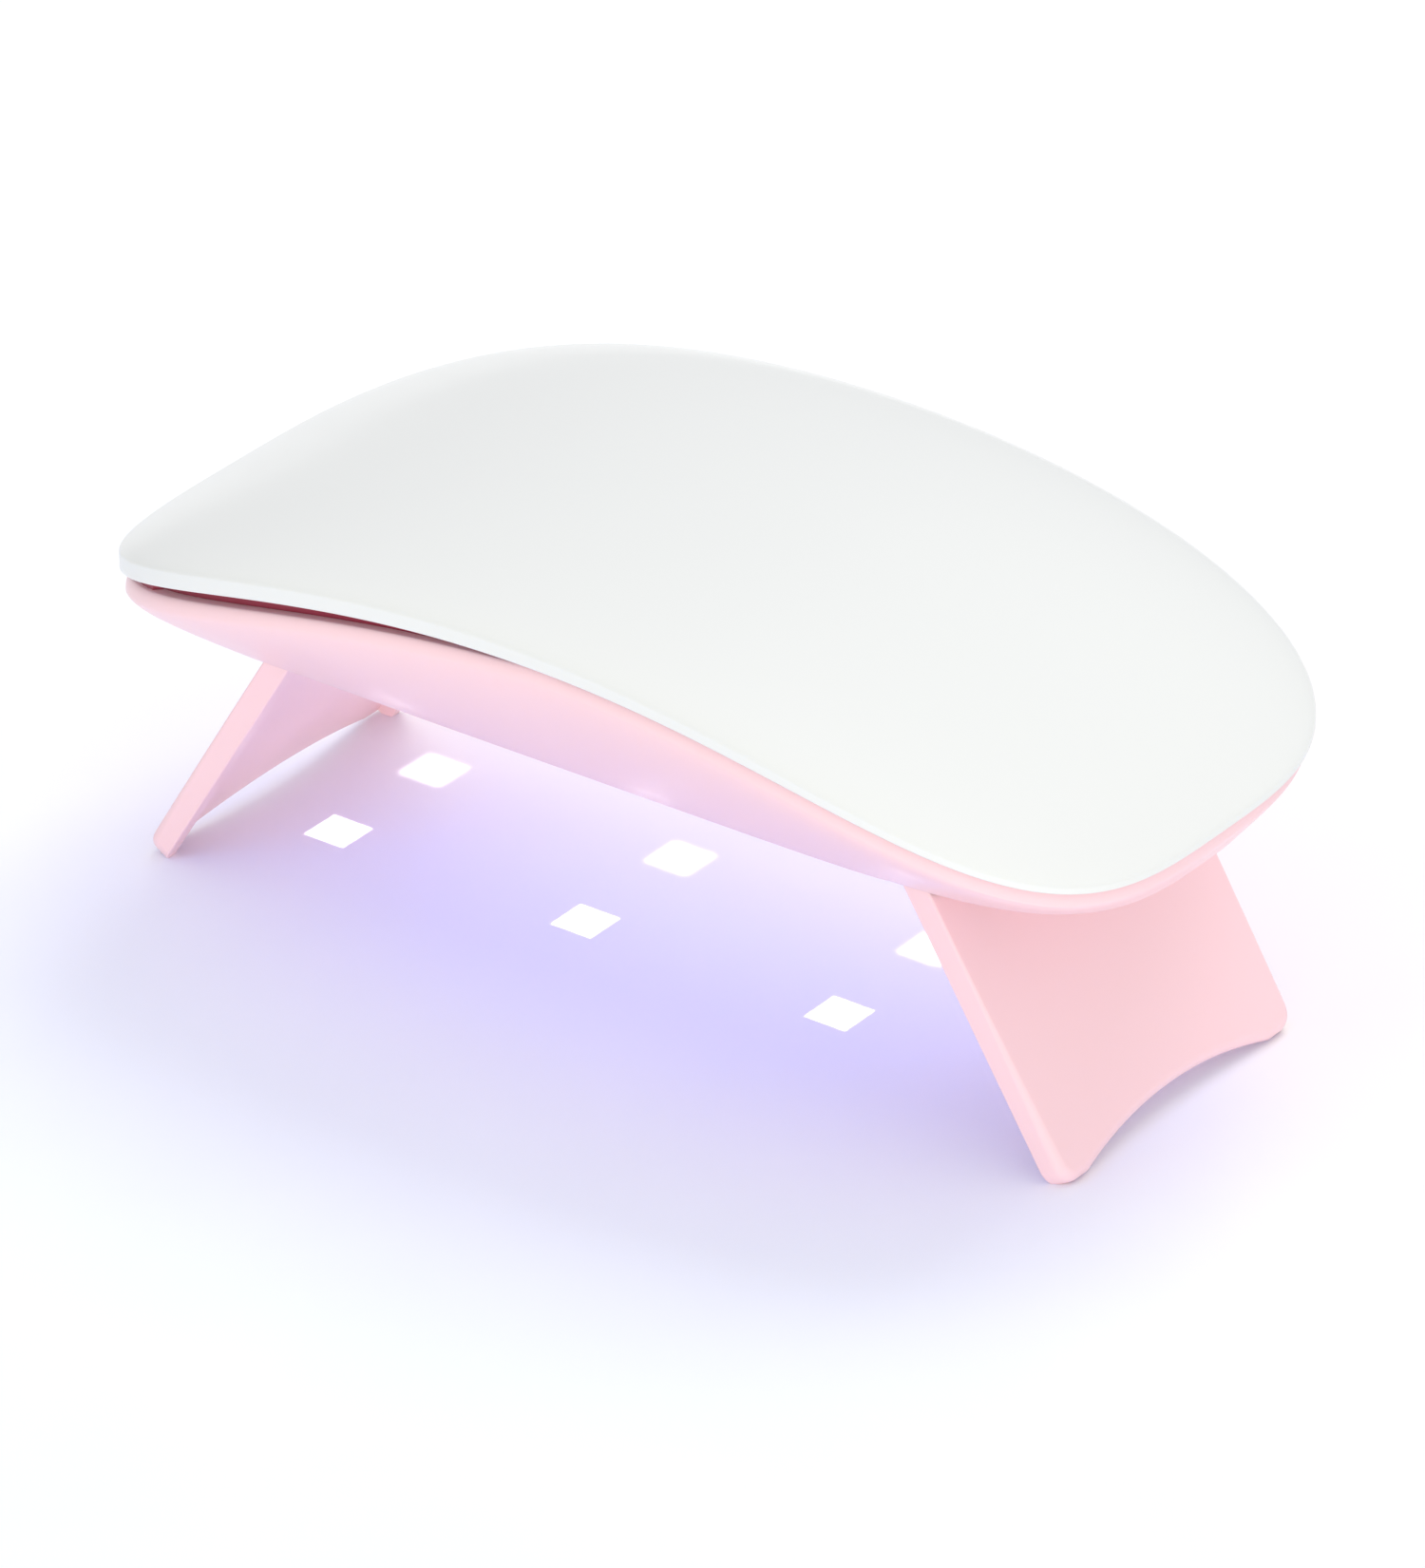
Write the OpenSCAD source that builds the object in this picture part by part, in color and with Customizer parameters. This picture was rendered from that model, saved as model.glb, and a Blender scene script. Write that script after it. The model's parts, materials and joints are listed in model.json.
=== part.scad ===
// Folding UV LED nail lamp: an arched cover on a slanted base, carried by two plate legs
// that fold flat into a pocket under the base. Millimetres, +Z up, +X along the length,
// origin on the table under the middle of the lamp. The legs are drawn standing open.

/* [Cover] */
// Length of the cover, the longest size of the lamp
cover_l = 135; // [120:1:150]
// Width of the cover, the widest size of the lamp
cover_w = 71; // [66:1:76]
// Squareness of the cover outline along the length
cover_p = 4.6; // [4:0.1:5]
// Squareness of the cover outline across the width
cover_q = 3.36; // [3:0.1:3.8]
// Height of the cover's lower edge above the table at the two noses
edge_low = 35.5; // [35:0.1:36]
// How far the lower edge arches up at mid length
edge_rise = 14.6; // [13:0.1:16]
// Height of the upright band along the cover's lower edge at mid length
lip_h = 1.5; // [1:0.1:2]
// Change of that band from the middle to either nose
lip_taper = 0.7; // [0:0.1:0.9]
// Height of the crowned top above the band
crown_h = 3.8; // [3:0.1:5]
// Wall thickness of the cover
cover_wall = 1.6; // [1.2:0.1:1.8]

/* [Base] */
// Height of the flat underside above the table
under_z = 30.1; // [29.5:0.1:30.6]
// Distance from mid length to the plain end of the flat underside
under_right = 64.2; // [63:0.1:65]
// Distance from mid length to its blunter end below the controls
under_left = 66; // [65:0.1:66.4]
// Width of the flat underside
under_w = 44.5; // [44.4:0.1:45]
// How far the base rim lies inside the cover's outline
rim_inset = 0.65; // [0.5:0.05:0.9]
// How far the rim is moved towards the controls
rim_shift = 0.2; // [0:0.05:0.3]
// Height of the seam between cover and rim at the plain end
seam_least = 0.5; // [0.3:0.05:0.6]
// How much wider the seam grows towards the controls
seam_growth = 1.3; // [0.8:0.05:1.5]
// Height of the rounded bead along the rim
bead_h = 1.6; // [1.2:0.1:1.8]
// Wall thickness of the base
base_wall = 1.5; // [1.3:0.1:1.6]
// Thickness of the plate above the leg pocket
ceiling_t = 1.2; // [1:0.1:1.4]
// Floor thickness of the two end compartments
floor_t = 1.1; // [1:0.1:1.2]

/* [Legs] */
// Angle of an open leg from the vertical
leg_splay = 31.8; // [31:0.1:32.4]
// Thickness of a leg at its side flanges
leg_t = 3.05; // [3:0.05:3.1]
// Width of a leg
leg_w = 43.3; // [43:0.1:43.4]
// Distance from the hinge axis to the toes
leg_len = 37.25; // [37.2:0.05:37.4]
// Thickness of the leg's outer skin between the flanges
leg_skin = 1.2; // [1:0.1:1.4]
// Width of a side flange
leg_flange = 2; // [1.8:0.1:2.4]
// Height of the arch cut into the foot edge
arch_h = 2.6; // [2:0.1:3]
// Distance of each hinge axis from mid length
pivot_x = 42.2; // [42.1:0.1:42.4]
// Height of the hinge axes above the table
pivot_z = 31.75; // [31.7:0.05:31.8]
// Diameter of a hinge pin
pin_d = 1.5; // [1.4:0.1:1.6]

/* [Lamps] */
// Spacing of the lamps along the length
led_dx = 34.7; // [34:0.1:35]
// Spacing of the lamps across the width
led_dy = 17.5; // [17:0.1:18]
// Side of a square lamp window
window_s = 5.6; // [5:0.1:6]

/* [Controls] */
// Offset of the power inlet to one side of the nose
inlet_y = -6.5; // [-7:0.1:-6]
// Offset of the button to the other side of the nose
button_y = 6.5; // [6:0.1:7]
// Travel of the button
button_travel = 0.35; // [0.3:0.05:0.4]

/* [Hidden] */

SIDES = 96;                 // points round each shell ring
$fn = 48;
eps = 0.01;
wall_pink = [1, 0.86, 0.885];
cover_white = [0.955, 0.96, 0.96];
steel = [0.75, 0.76, 0.78];

half_l = cover_l / 2;
half_w = cover_w / 2;
edge_pow = 2.04;            // shape of the lower edge's arch
bead_w = 0.7;               // width of the rim's rounding
wall_pow = 1.3;             // how much the side wall bulges
dome_pow = 2.5;             // how soon the crown falls away from the middle
under_p = 5.5;              // squareness of the underside along the length
under_q = 3;                // squareness of the underside across the width
blunt_p = 8;                // the same two for the end below the controls
blunt_q = 4;
dome_rings = 13;
inner_rings = 9;

pocket_z = under_z + 3.5;               // ceiling of the leg pocket
deck_z = pocket_z + ceiling_t;          // top of that ceiling, the deck inside the lamp
floor_z = under_z + floor_t;
pocket_half_l = 45.35;
pocket_half_w = leg_w / 2 + 0.25;
bay_start = 47.2;                       // where each end compartment starts
bay_inset = 1.7;
running = 0.05;                         // radial clearance of a pin in a leg
clear = 0.3;                            // gap between bodies that pass each other

board_t = 1;
led_board_z = 36.4;
led_board_l = 77.6;
led_board_w = 30;
led_s = 3.5;
led_h = 0.9;
flange_s = window_s + 1.6;
flange_t = 0.5;
board_post = [led_dx / 2, 11.5];        // a screw post of the lamp board

ear_y = 16.5;                           // middle of a hinge ear
ear_t = 2;
ear_r = 1.6;
ear_neck = 0.6;                         // an ear's neck keeps clear of the folded leg
bracket_x = [39.5, 45];
bracket_t = 1.6;
bracket_screw_y = 8.5;
bracket_web = 0.5;

cover_post = [50.5, 15.6];              // a screw post of the cover
post_r = 2.3;
post_z = floor_z + 2.3;
rib_x = -53;                            // the spacer rib in the seam lies beyond this
rib_step = 0.8;
ring_inset = 2.3;                       // outer face of the rose ring that closes the seam
post_reach = 0.85;                      // outer side of a post, as a share of the cover's outline
screw_r = 1;
head_h = 1;

pcb_t = 0.8;
pcb_top = floor_z + pcb_t;
pcb_screw = [-51.4, 10.4];
pcb_x = [-62.2, -48.2];
pcb_half_w = 12.6;
socket_h = 2.45;
socket_w = 7.5;
control_z = pcb_top + socket_h / 2;     // middle height of the inlet and the button
socket_x = [-66.3, -59.7];
button_w = 6.6;
button_h = 2.3;
button_face_x = -67.2;
button_back_x = -59.9;
button_stop_w = 8.2;                    // the button's inner collar is wider than its hole
switch_x = [-58.4, -54.8];
pipe_x = [-66.9, -61.8];

// ---- rings and lofts ----------------------------------------------------

// points of a squared oval, closely spaced where it turns
function oval(a, b, p, q) = [for (i = [0:SIDES - 1]) let (t = 360 * i / SIDES, c = cos(t))
    [a * c, sign(sin(t)) * b * pow(max(0, 1 - pow(abs(c), p)), 1 / q)]];

function edge_z(x) = edge_low + edge_rise * (1 - pow(min(1, abs(x) / half_l), edge_pow));

// the seam is narrow from the plain end to mid length and widest before the controls
function seam(x) = let (t = max(0, 0.02 - x / half_l) / 1.02)
    seam_least + seam_growth * pow(max(0, sin(180 * pow(t, 1.2))), 0.6);
function rim_z(x) = edge_z(x) - seam(x);
function band_z(x) = edge_z(x) + lip_h - lip_taper * x / half_l;
function dome_z(x, s) = band_z(x) + crown_h * sqrt(max(0, 1 - pow(s, dome_pow)));

// the cover's outline, moved inwards
function cover_oval(inset) = oval(half_l - inset, half_w - inset, cover_p, cover_q);

function outer_ring(s) = [for (v = cover_oval(0)) [v.x * s, v.y * s, dome_z(v.x * s, s)]];
function inner_ring(s) = [for (v = cover_oval(cover_wall))
    [v.x * s, v.y * s, max(edge_z(v.x * s), dome_z(v.x * s, s) - cover_wall)]];
function edge_ring(inset, lift) = [for (v = cover_oval(inset)) [v.x, v.y, edge_z(v.x) + lift]];

// outline of the underside, blunter below the controls
function under_oval(inset) = let (
        plain = oval(under_right - inset, under_w / 2 - inset, under_p, under_q),
        blunt = oval(under_left - inset, under_w / 2 - inset, blunt_p, blunt_q))
    [for (i = [0:SIDES - 1]) plain[i].x < 0 ? blunt[i] : plain[i]];

// a ring of the base: mix 0 is the underside's outline, mix 1 the foot of the rim's bead
function base_oval(k, inset) = let (low = under_oval(inset), high = rim_oval(inset))
    [for (i = [0:SIDES - 1]) low[i] * (1 - k) + high[i] * k];
function rim_oval(inset) = [for (v = cover_oval(rim_inset + inset)) [v.x - rim_shift, v.y]];
function base_ring(k) = [for (v = base_oval(1 - pow(1 - k, wall_pow), 0))
    [v.x, v.y, under_z + (rim_z(v.x) - bead_h - under_z) * k]];
function flat_ring(k, inset, z) = [for (v = base_oval(k, inset)) [v.x, v.y, z]];
function wall_ring(k, inset) = [for (v = base_oval(k, inset))
    [v.x, v.y, max(deck_z + 0.2, under_z + (rim_z(v.x) - under_z) * k)]];
function bead_ring(a) = [for (v = rim_oval(bead_w * (1 - cos(a))))
    [v.x, v.y, rim_z(v.x) - bead_h * (1 - sin(a))]];

// outline of the ledge inside the seam, stepped outwards at the spacer rib
function step_oval(inset) = let (deep = cover_oval(inset), near = cover_oval(inset - rib_step))
    [for (i = [0:SIDES - 1]) deep[i].x < rib_x ? near[i] : deep[i]];
function ledge_ring(inset, lift) = [for (v = step_oval(inset)) [v.x, v.y, rim_z(v.x) + lift]];
function spigot_ring(inset, lift) = [for (v = step_oval(inset)) [v.x, v.y, edge_z(v.x) + lift]];

// a closed skin through the rings; rings run from the outside over the rim to the inside
module loft(rings, upward) {
    n = SIDES;
    last = len(rings) - 1;
    walls = [for (k = [0:last - 1], i = [0:n - 1]) let (
            j = (i + 1) % n,
            a = k * n + i,
            b = k * n + j,
            c = b + n,
            d = a + n)
        each upward ? [[a, c, b], [a, d, c]] : [[a, b, c], [a, c, d]]];
    first_cap = [for (i = [0:n - 1]) upward ? i : n - 1 - i];
    last_cap = [for (i = [0:n - 1]) last * n + (upward ? n - 1 - i : i)];
    polyhedron([for (r = rings) each r], concat([first_cap, last_cap], walls), convexity = 6);
}

// a closed hoop through the rings: out bottom, out top, in top, in bottom
module hoop(rings) {
    n = SIDES;
    m = len(rings);
    polyhedron([for (r = rings) each r],
        [for (k = [0:m - 1], i = [0:n - 1]) let (
            j = (i + 1) % n,
            a = k * n + i,
            b = k * n + j,
            c = (k + 1) % m * n + j,
            d = (k + 1) % m * n + i)
        each [[a, c, b], [a, d, c]]], convexity = 6);
}

module at_corners(x, y) {
    for (sx = [-1, 1], sy = [-1, 1]) translate([sx * x, sy * y, 0]) children();
}

module at_ends() {
    children();
    mirror([1, 0, 0]) children();
}

// a box given by its x, y and z ranges
module block(x, y, z) {
    translate([x[0], y[0], z[0]]) cube([x[1] - x[0], y[1] - y[0], z[1] - z[0]]);
}

module rod(r, x, y, z) {
    translate([x, y, z[0]]) cylinder(r = r, h = z[1] - z[0]);
}

module rod_y(r, y) {
    translate([0, y[0], 0]) rotate([-90, 0, 0]) cylinder(r = r, h = y[1] - y[0]);
}

// a pan head screw: top of the head at z, pointing down
module screw(length, z) {
    rod(screw_r * 1.7, 0, 0, [z - head_h, z]);
    rod(screw_r * 0.9, 0, 0, [z - head_h - length, z - head_h + eps]);
}

// a slot with round ends, lying across the nose
module slot_x(w, h, x) {
    translate([x[0], 0, 0]) rotate([90, 0, 90]) linear_extrude(x[1] - x[0]) {
        square([w - h, h], center = true);
        for (s = [-1, 1]) translate([s * (w - h) / 2, 0]) circle(d = h);
    }
}

// ---- shells ----------------------------------------------------------------

module cover_skin() {
    outer = [for (i = [0:dome_rings]) outer_ring(sin(2 + 88 * i / dome_rings))];
    inner = [for (i = [0:inner_rings]) inner_ring(sin(86 - 84 * i / inner_rings))];
    band = [edge_ring(0, 0.3), edge_ring(0.3, 0), edge_ring(cover_wall, 0)];
    loft(concat(outer, band, inner), false);
}

// a post ends inside the wall of the crown
function post_top(side) = dome_z(side * (cover_post[0] + post_r), post_reach) - 0.7;

module top_cover() {
    color(cover_white) difference() {
        union() {
            cover_skin();
            for (sx = [-1, 1], sy = [-1, 1])
                rod(post_r, sx * cover_post[0], sy * cover_post[1], [post_z, post_top(sx)]);
        }
        at_corners(cover_post[0], cover_post[1]) rod(screw_r * 0.9, 0, 0, [post_z - 1, post_z + 6]);
    }
}

module base_skin() {
    loft([
        flat_ring(0, 0.5, under_z),
        flat_ring(0.02, 0.1, under_z + 0.35),
        base_ring(0.12),
        base_ring(0.35),
        base_ring(0.6),
        base_ring(0.82),
        bead_ring(0),
        bead_ring(30),
        bead_ring(60),
        bead_ring(90),
        ledge_ring(3.1, -0.1),
        spigot_ring(3.3, -0.12),
        spigot_ring(4.2, 0.1),
        ledge_ring(4.4, -0.8),
        wall_ring(0.6, base_wall + 1.5),
        flat_ring(0.25, base_wall + 1.4, deck_z)
    ], true);
}

function bay_oval(gap) = oval(under_right - bay_inset - gap, under_w / 2 - bay_inset - gap,
    under_p, under_q);

// one end compartment, left solid round the two cover screws
module bay() {
    translate([0, 0, floor_z]) linear_extrude(10) difference() {
        intersection() {
            polygon(bay_oval(0));
            translate([bay_start, -half_w]) square([half_l, cover_w]);
        }
        for (s = [-1, 1]) translate([cover_post[0], s * cover_post[1]]) circle(post_r + 0.5);
    }
}

// a ring round the spigot that closes the seam from inside
module seam_ring() {
    back = ring_inset + 0.72;
    color([0.6, 0.2, 0.3]) hoop([
        ledge_ring(ring_inset, -0.04),
        spigot_ring(ring_inset, -0.14),
        spigot_ring(back, -0.14),
        ledge_ring(back, -0.04)
    ]);
}

module led_spots() {
    for (i = [0:5]) translate([led_x(i), led_y(i), 0]) children();
}

function led_x(i) = (floor(i / 2) - 1) * led_dx;
function led_y(i) = (i % 2 == 0 ? -1 : 1) * led_dy / 2;

module base_tray() {
    color(wall_pink) difference() {
        union() {
            base_skin();
            at_corners(board_post[0], board_post[1]) rod(2, 0, 0, [deck_z - 0.5, led_board_z]);
            at_corners(hinge_screw_x(), bracket_screw_y)
                rod(1.9, 0, 0, [deck_z - 0.5, deck_z + bracket_t - bracket_web]);
        }
        block([-pocket_half_l, pocket_half_l], [-pocket_half_w, pocket_half_w], [0, pocket_z]);
        at_ends() difference() {
            bay();
            at_corners(cover_post[0], cover_post[1]) rod(post_r + 0.5, 0, 0, [0, post_z]);
        }
        led_spots() block([-1, 1] * (window_s / 2 + 0.1), [-1, 1] * (window_s / 2 + 0.1), [33, 36]);
        at_corners(board_post[0], board_post[1]) rod(screw_r * 0.9, 0, 0, [34, 40]);
        at_corners(hinge_screw_x(), bracket_screw_y) rod(screw_r * 0.9, 0, 0, [33.9, 40]);
        at_corners(pivot_x, ear_y) block([-1, 1] * (ear_r + 0.1), [-1, 1] * (ear_t / 2 + 0.1), [33, 36]);
        at_corners(cover_post[0], cover_post[1]) {
            rod(screw_r * 1.7 + 0.2, 0, 0, [under_z - 1, under_z + head_h + 0.2]);
            rod(screw_r + 0.15, 0, 0, [under_z, post_z + 1]);
            rod(post_r + 0.05, 0, 0, [post_z, 40]);
        }
        block([-70, -60], [-1, 1] * (socket_w / 2 + 0.15) + [1, 1] * inlet_y,
            [-1, 1] * (socket_h / 2 + 0.15) + [1, 1] * control_z);
        translate([0, button_y, control_z]) slot_x(button_w + 0.5, button_h + 0.5, [-70, -60]);
        translate([-70, 0, control_z]) rotate([0, 90, 0]) cylinder(r = 1.05, h = 10);
    }
}

// ---- legs and hinges ------------------------------------------------------------

function hinge_screw_x() = (bracket_x[0] + bracket_x[1]) / 2;

// outline of a leg in its own plane, hinge axis on the upper edge
module leg_outline() {
    toe_r = 2.4;
    half = leg_w / 2;
    arch_r = 58;
    difference() {
        union() {
            translate([-half, -(leg_len - toe_r)]) square([leg_w, leg_len - toe_r]);
            translate([-(half - toe_r), -leg_len]) square([leg_w - 2 * toe_r, leg_len]);
            for (s = [-1, 1]) translate([s * (half - toe_r), -(leg_len - toe_r)]) circle(toe_r);
        }
        translate([0, -(leg_len - arch_h) - arch_r]) circle(arch_r, $fn = 180);
    }
}

// a leg hanging straight down from its hinge axis, its outer face towards +X
module leg_plate() {
    half = leg_w / 2;
    root = 3.4;
    difference() {
        union() {
            translate([-leg_t / 2, 0, 0]) rotate([90, 0, 90]) linear_extrude(leg_t) leg_outline();
            rod_y(leg_t / 2 - 0.02, [-half, half]);
        }
        block([-leg_t, leg_t / 2 - leg_skin], [-1, 1] * (half - leg_flange), [-leg_len - 1, -root]);
        rod_y(pin_d / 2 + running, [-half - 1, half + 1]);
        for (s = [-1, 1]) translate([0, s * ear_y, 0])
            rod_y(ear_r + 0.35, [-1, 1] * (ear_t / 2 + clear));
    }
}

module leg() {
    color(wall_pink) difference() {
        translate([pivot_x, 0, pivot_z]) rotate([0, -leg_splay, 0]) leg_plate();
        block([0, cover_l], [-half_w, half_w], [-10, 0]);
    }
}

module leg_right() {
    leg();
}

module leg_left() {
    mirror([1, 0, 0]) leg();
}

module hinge_pin() {
    color(steel) translate([pivot_x, 0, pivot_z]) rod_y(pin_d / 2, [-21, 21]);
}

module hinge_pin_right() {
    hinge_pin();
}

module hinge_pin_left() {
    mirror([1, 0, 0]) hinge_pin();
}

// a bar on the deck with two ears that reach down into the pocket and hold the pin
module hinge_bracket() {
    color(wall_pink) difference() {
        union() {
            block(bracket_x, [-19, 19], [deck_z, deck_z + bracket_t]);
            for (s = [-1, 1]) translate([pivot_x, s * ear_y, 0]) {
                block([-ear_neck, ear_r], [-ear_t / 2, ear_t / 2], [pivot_z, deck_z + 0.2]);
                translate([0, 0, pivot_z]) rod_y(ear_r, [-ear_t / 2, ear_t / 2]);
            }
        }
        translate([pivot_x, 0, pivot_z]) rod_y(pin_d / 2, [-20, 20]);
        for (s = [-1, 1]) translate([hinge_screw_x(), s * bracket_screw_y, 0]) {
            rod(2, 0, 0, [deck_z - 1, deck_z + bracket_t - bracket_web]);
            rod(screw_r + 0.1, 0, 0, [deck_z, deck_z + bracket_t + 1]);
        }
    }
}

module hinge_bracket_right() {
    hinge_bracket();
}

module hinge_bracket_left() {
    mirror([1, 0, 0]) hinge_bracket();
}

module hinge_screws() {
    color(steel) at_corners(hinge_screw_x(), bracket_screw_y)
        screw(2.4, deck_z + bracket_t + head_h);
}

module cover_screws() {
    length = 6;
    color(steel) at_corners(cover_post[0], cover_post[1])
        translate([0, 0, under_z + 0.2]) mirror([0, 0, 1]) screw(length, 0);
}

// ---- lamps -------------------------------------------------------------------------

module led_board() {
    color([0.92, 0.93, 0.92]) difference() {
        block([-1, 1] * led_board_l / 2, [-1, 1] * led_board_w / 2,
            [led_board_z, led_board_z + board_t]);
        at_corners(board_post[0], board_post[1]) rod(screw_r + 0.1, 0, 0, [30, 40]);
    }
}

module led_board_screws() {
    color(steel) at_corners(board_post[0], board_post[1])
        screw(3.2, led_board_z + board_t + head_h);
}

module uv_led(i) {
    color([0.95, 0.95, 0.8]) translate([led_x(i), led_y(i), 0])
        block([-1, 1] * led_s / 2, [-1, 1] * led_s / 2, [led_board_z - led_h, led_board_z]);
}

module led_window(i) {
    half = window_s / 2;
    wide = flange_s / 2;
    color([0.8, 0.78, 1, 0.6]) translate([led_x(i), led_y(i), 0]) {
        block([-half, half], [-half, half], [pocket_z + 0.1, deck_z + 0.1]);
        block([-wide, wide], [-wide, wide], [deck_z, deck_z + flange_t]);
    }
}

// ---- controls in the end compartment ------------------------------------------------

module control_board() {
    color([0.1, 0.45, 0.25]) difference() {
        translate([0, 0, floor_z]) linear_extrude(pcb_t) intersection() {
            polygon(bay_oval(0.2));
            translate([pcb_x[0], -pcb_half_w]) square([pcb_x[1] - pcb_x[0], 2 * pcb_half_w]);
        }
        for (s = [-1, 1]) rod(screw_r + 0.1, pcb_screw[0], s * pcb_screw[1], [30, 40]);
    }
}

module control_board_screws() {
    color(steel) for (s = [-1, 1]) translate([pcb_screw[0], s * pcb_screw[1], 0])
        screw(pcb_t + 0.6, pcb_top + head_h);
}

// outline of the inlet's metal shell: wide at the top, pinched at the bottom
module socket_outline(grow) {
    w = socket_w / 2 - 0.35 + grow;
    h = socket_h / 2 - 0.3 + grow;
    polygon([[-w, h], [w, h], [w, -h * 0.1], [w - 1, -h], [-w + 1, -h], [-w, -h * 0.1]]);
}

module usb_socket() {
    color(steel) translate([0, inlet_y, control_z]) difference() {
        translate([socket_x[0], 0, 0]) rotate([90, 0, 90])
            linear_extrude(socket_x[1] - socket_x[0]) socket_outline(0.3);
        translate([socket_x[0] - 1, 0, 0]) rotate([90, 0, 90])
            linear_extrude(socket_x[1] - socket_x[0]) socket_outline(0);
    }
}

module usb_tongue() {
    color([0.15, 0.15, 0.16]) translate([0, inlet_y, control_z])
        block([socket_x[0] + 0.6, socket_x[1] - 1], [-1.9, 1.9], [0.05, 0.6]);
}

module timer_chip() {
    color([0.1, 0.1, 0.11]) block([-56.6, -52.7], [-2.9, 2.1], [pcb_top, pcb_top + 1.5]);
}

module power_transistor() {
    color([0.12, 0.12, 0.13]) block([-55.5, -53], [-7.8, -4], [pcb_top, pcb_top + 1.4]);
}

module resistors() {
    color([0.2, 0.2, 0.22]) for (i = [0:2]) translate([-58.2 + i * 1.8, -10.6, 0])
        block([-0.65, 0.65], [-1.5, 1.5], [pcb_top, pcb_top + 0.6]);
}

module capacitor() {
    color([0.75, 0.6, 0.35]) block([-51, -49.3], [-7.5, -4.3], [pcb_top, pcb_top + 1.6]);
}

module switch_body() {
    color([0.2, 0.2, 0.22]) difference() {
        block(switch_x, [-3, 3] + [button_y, button_y], [pcb_top, pcb_top + 2.9]);
        translate([switch_x[0] - 1, button_y, control_z]) rotate([0, 90, 0])
            cylinder(r = 1, h = 3);
    }
}

module switch_plunger() {
    color([0.85, 0.85, 0.86]) translate([button_back_x, button_y, control_z])
        rotate([0, 90, 0]) cylinder(r = 0.85, h = switch_x[0] - button_back_x + 1);
}

module power_button() {
    color(cover_white) translate([0, button_y, control_z]) {
        slot_x(button_w, button_h, [button_face_x, button_back_x - 0.4]);
        block([button_back_x - 0.6, button_back_x], [-1, 1] * button_stop_w / 2,
            [-1, 1] * button_h / 2);
    }
}

module indicator_led() {
    color([0.9, 0.92, 1]) block([-61.6, -60.2], [-0.8, 0.8], [pcb_top, pcb_top + 1.7]);
}

module light_pipe() {
    color([0.85, 0.88, 1, 0.6]) translate([pipe_x[0], 0, control_z]) rotate([0, 90, 0])
        cylinder(r = 1, h = pipe_x[1] - pipe_x[0]);
}

// an insulated wire: up from the control board, along, and down to the lamp board
module lead(y) {
    r = 0.55;
    high = led_board_z + board_t + 1.6;
    start = -49.6;
    end = -36.6;
    rod(r, start, y, [pcb_top, high]);
    rod(r, end, y, [led_board_z + board_t, high]);
    translate([start, y, high]) rotate([0, 90, 0]) cylinder(r = r, h = end - start);
    for (x = [start, end]) translate([x, y, high]) sphere(r);
}

module lead_red() {
    color([0.8, 0.1, 0.1]) lead(1.2);
}

module lead_black() {
    color([0.08, 0.08, 0.08]) lead(-1.2);
}

top_cover();
base_tray();
seam_ring();
leg_left();
leg_right();
hinge_pin_left();
hinge_pin_right();
hinge_bracket_left();
hinge_bracket_right();
hinge_screws();
cover_screws();
led_board();
led_board_screws();
uv_led(0);  // uv_led_1
uv_led(1);  // uv_led_2
uv_led(2);  // uv_led_3
uv_led(3);  // uv_led_4
uv_led(4);  // uv_led_5
uv_led(5);  // uv_led_6
led_window(0);  // led_window_1
led_window(1);  // led_window_2
led_window(2);  // led_window_3
led_window(3);  // led_window_4
led_window(4);  // led_window_5
led_window(5);  // led_window_6
control_board();
control_board_screws();
usb_socket();
usb_tongue();
timer_chip();
power_transistor();
resistors();
capacitor();
switch_body();
switch_plunger();
power_button();
indicator_led();
light_pipe();
lead_red();
lead_black();
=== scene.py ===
"""Looks of a folding UV LED nail lamp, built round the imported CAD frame.

Every length inside the builders is in millimetres; MM turns it into metres.
"""
import json
import math

import bmesh
import bpy
import numpy as np
from mathutils import Matrix, Vector

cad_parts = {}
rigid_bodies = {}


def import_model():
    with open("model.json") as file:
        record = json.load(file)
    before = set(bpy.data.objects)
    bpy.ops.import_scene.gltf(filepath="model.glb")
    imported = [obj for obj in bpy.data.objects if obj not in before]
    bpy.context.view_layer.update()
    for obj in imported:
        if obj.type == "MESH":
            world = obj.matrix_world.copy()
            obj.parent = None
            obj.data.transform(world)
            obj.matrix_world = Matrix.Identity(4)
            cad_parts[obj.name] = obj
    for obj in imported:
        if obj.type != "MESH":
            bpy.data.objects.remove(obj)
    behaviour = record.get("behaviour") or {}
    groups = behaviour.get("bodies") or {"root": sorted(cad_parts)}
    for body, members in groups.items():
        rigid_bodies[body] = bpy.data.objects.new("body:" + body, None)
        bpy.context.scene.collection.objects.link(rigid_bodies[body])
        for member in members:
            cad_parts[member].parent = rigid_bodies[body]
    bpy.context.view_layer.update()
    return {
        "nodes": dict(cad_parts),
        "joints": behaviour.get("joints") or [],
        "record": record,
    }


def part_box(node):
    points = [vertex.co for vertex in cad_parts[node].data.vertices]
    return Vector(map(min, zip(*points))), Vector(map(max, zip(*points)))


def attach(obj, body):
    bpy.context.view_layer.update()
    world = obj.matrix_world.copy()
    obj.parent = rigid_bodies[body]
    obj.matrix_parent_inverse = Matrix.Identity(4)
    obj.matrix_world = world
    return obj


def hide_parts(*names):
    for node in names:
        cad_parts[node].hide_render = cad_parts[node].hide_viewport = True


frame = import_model()

MM = 0.001
NODES = frame["nodes"]
JOINTS = {j["name"]: j for j in frame["joints"]}


def node_box(name):
    """A CAD node's lowest and highest corners in millimetres."""
    low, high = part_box(name)
    return np.array(low) / MM, np.array(high) / MM


# ---------------------------------------------------------------- sizes

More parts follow.
